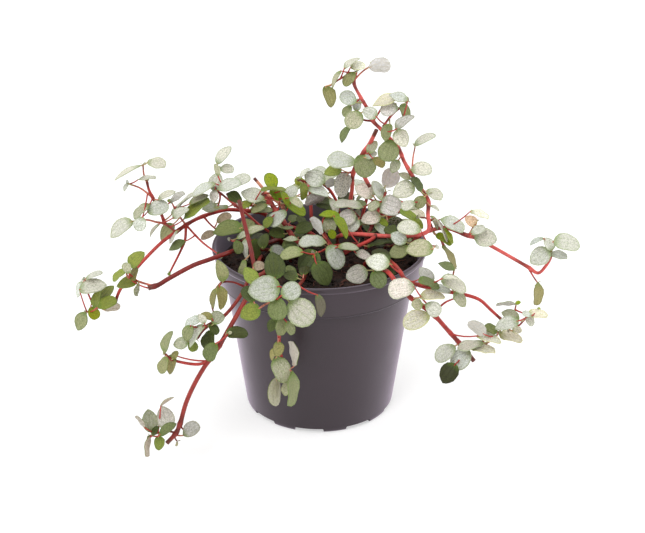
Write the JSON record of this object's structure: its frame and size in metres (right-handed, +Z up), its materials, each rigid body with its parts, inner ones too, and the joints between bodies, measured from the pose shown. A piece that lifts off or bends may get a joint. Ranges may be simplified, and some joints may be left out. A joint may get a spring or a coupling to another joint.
{
  "type": "potted plant",
  "caption": "Small-leaved silver pilea in a round nursery pot: thin red stems with side shoots spill over the rim and one stands tall.",
  "frame": {"origin": "under the middle of the whole plant, on the plane that the pot's foot stands on", "axes": "+Z up along the pot's axis, +X to the plant's right as seen from the front, -Y towards the front"},
  "size_m": [0.2104, 0.1434, 0.1522],
  "materials": {
    "pot": "satin taupe-grey moulded plastic",
    "soil": "dark crumbly peat",
    "foliage": "silvery green leaves on crimson stems"
  },
  "bodies": {
    "root": {"pot": "pot", "soil": "soil", "leafy_stem_front_hanging": "foliage", "leafy_stem_front_left": "foliage", "leafy_stem_front_low": "foliage", "leafy_stem_right_front": "foliage", "leafy_stem_right_low": "foliage", "leafy_stem_right_rim": "foliage", "leafy_stem_center": "foliage", "leafy_stem_center_low": "foliage", "leafy_stem_center_right": "foliage", "leafy_stem_tall": "foliage", "leafy_stem_middle": "foliage", "leafy_stem_right_long": "foliage", "leafy_stem_cut_middle": "foliage", "leafy_stem_left_low": "foliage", "leafy_stem_top_left": "foliage", "leafy_stem_far_left": "foliage", "leafy_stem_back_middle": "foliage", "leafy_stem_back_left": "foliage", "leafy_stem_back": "foliage", "leafy_stem_back_right": "foliage", "leafy_stem_right_back": "foliage"}
  },
  "joints": []
}
